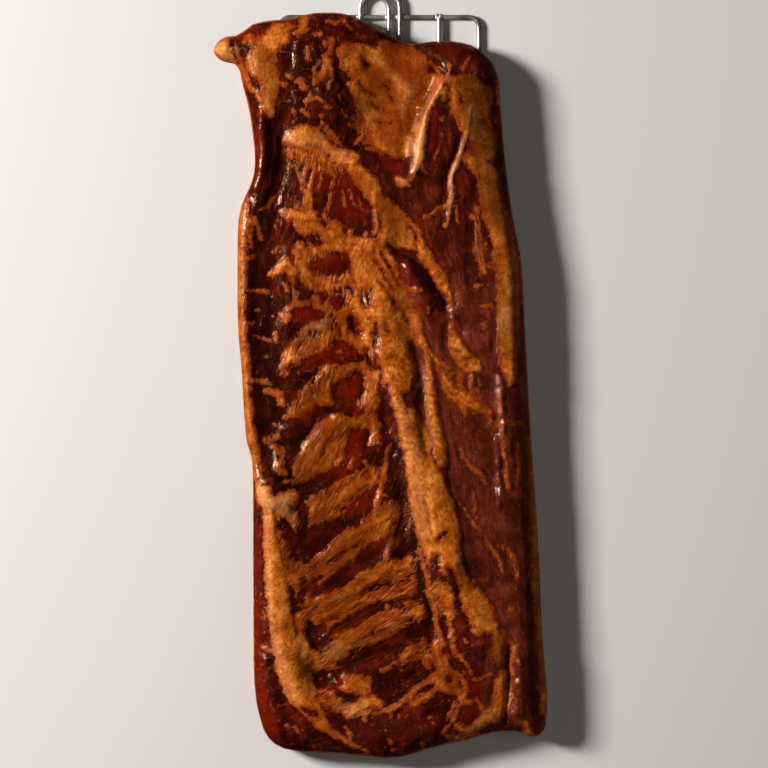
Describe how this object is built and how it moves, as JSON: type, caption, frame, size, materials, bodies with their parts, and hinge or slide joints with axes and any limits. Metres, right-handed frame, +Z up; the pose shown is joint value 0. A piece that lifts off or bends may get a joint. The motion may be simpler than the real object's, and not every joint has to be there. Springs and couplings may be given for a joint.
{
  "type": "slab bacon",
  "caption": "Whole slab of smoked belly bacon lying rib side up, with the round-wire steel hanger whose prongs it was smoked on still in its back.",
  "frame": {"origin": "middle of the slab's flat resting face, which is its rind side", "axes": "+Z up out of the rib side, +Y along the slab to the hanger end, +X towards the flank edge"},
  "size_m": [0.2924, 0.6793, 0.0436],
  "materials": {
    "smoked_pork": "smoked pork belly: dark mahogany lean and amber fat under a thin oily gloss",
    "stainless_wire": "bright drawn stainless wire, welded where the wires cross"
  },
  "bodies": {
    "root": {"slab": "smoked_pork", "hanger": "stainless_wire"}
  },
  "joints": []
}
